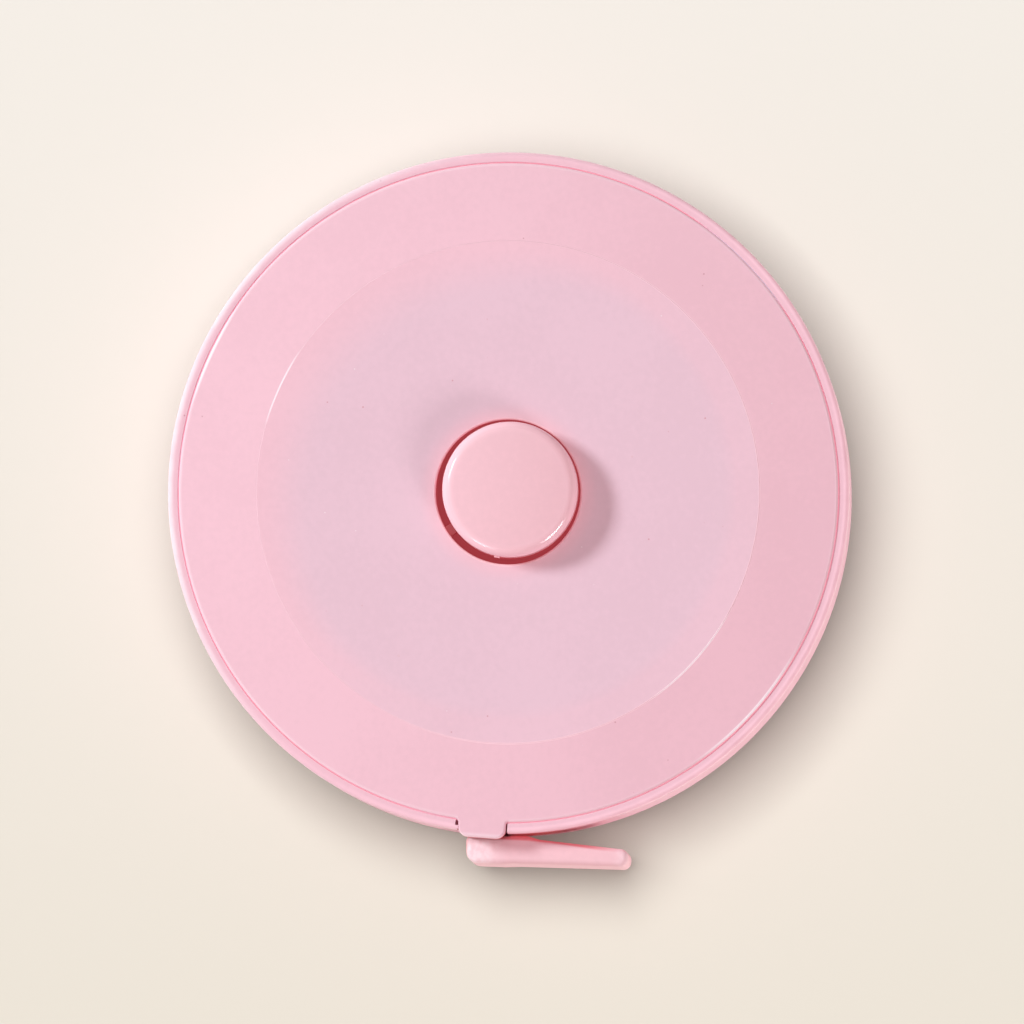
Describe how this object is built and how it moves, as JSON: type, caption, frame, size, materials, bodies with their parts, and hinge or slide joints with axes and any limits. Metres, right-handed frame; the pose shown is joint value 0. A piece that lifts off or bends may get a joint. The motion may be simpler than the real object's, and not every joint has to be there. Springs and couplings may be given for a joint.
{
  "type": "retractable tape measure",
  "caption": "Round pocket tape measure with a cloth tape on a sprung reel, a centre push button that frees the brake, and a pull tab at the tape slot.",
  "frame": {"origin": "centre of the flat back of the case, on the button's axis", "axes": "+Z out of the back towards the button, the tape leaves the case at -Y and is pulled towards +X"},
  "size_m": [0.05, 0.0528, 0.0153],
  "materials": {
    "case_plastic": "satin moulded pink plastic",
    "button_plastic": "satin moulded pink plastic",
    "tab_plastic": "satin moulded pink plastic",
    "reel_plastic": "plain white moulded plastic",
    "tape_cloth": "coated cloth with printed graduations",
    "spring_steel": "blued spring steel",
    "brake_rubber": "matt rubber"
  },
  "bodies": {
    "case": {"rear_shell": "case_plastic", "front_cover": "case_plastic", "button_spring": "spring_steel"},
    "button": {"push_button": "button_plastic", "brake_ring": "brake_rubber"},
    "reel": {"reel_barrel": "reel_plastic", "reel_flange": "reel_plastic", "spring_cover": "reel_plastic", "power_spring": "spring_steel", "tape_winding": "tape_cloth"},
    "tape_end": {"tape_lead": "tape_cloth", "pull_tab": "tab_plastic"}
  },
  "joints": [
    {"name": "button_press", "type": "slide", "parent": "case", "child": "button", "axis": [0, 0, -1], "range_m": [0, 0.001], "stiffness_N_per_m": 500, "springref_m": -0.003, "deforming": ["button_spring"]},
    {"name": "reel_turn", "type": "hinge", "parent": "case", "child": "reel", "pos_m": [0, 0, 0], "axis": [0, 0, 1], "range_deg": [0, 5400], "deforming": ["power_spring"]},
    {"name": "tape_pull", "type": "slide", "parent": "case", "child": "tape_end", "axis": [0.9986, -0.0523, 0], "range_m": [0, 1.48], "deforming": ["tape_lead"]}
  ],
  "couplings": [
    {"joint": "tape_pull", "follows": "reel_turn", "m_per_rad": 0.01569}
  ]
}
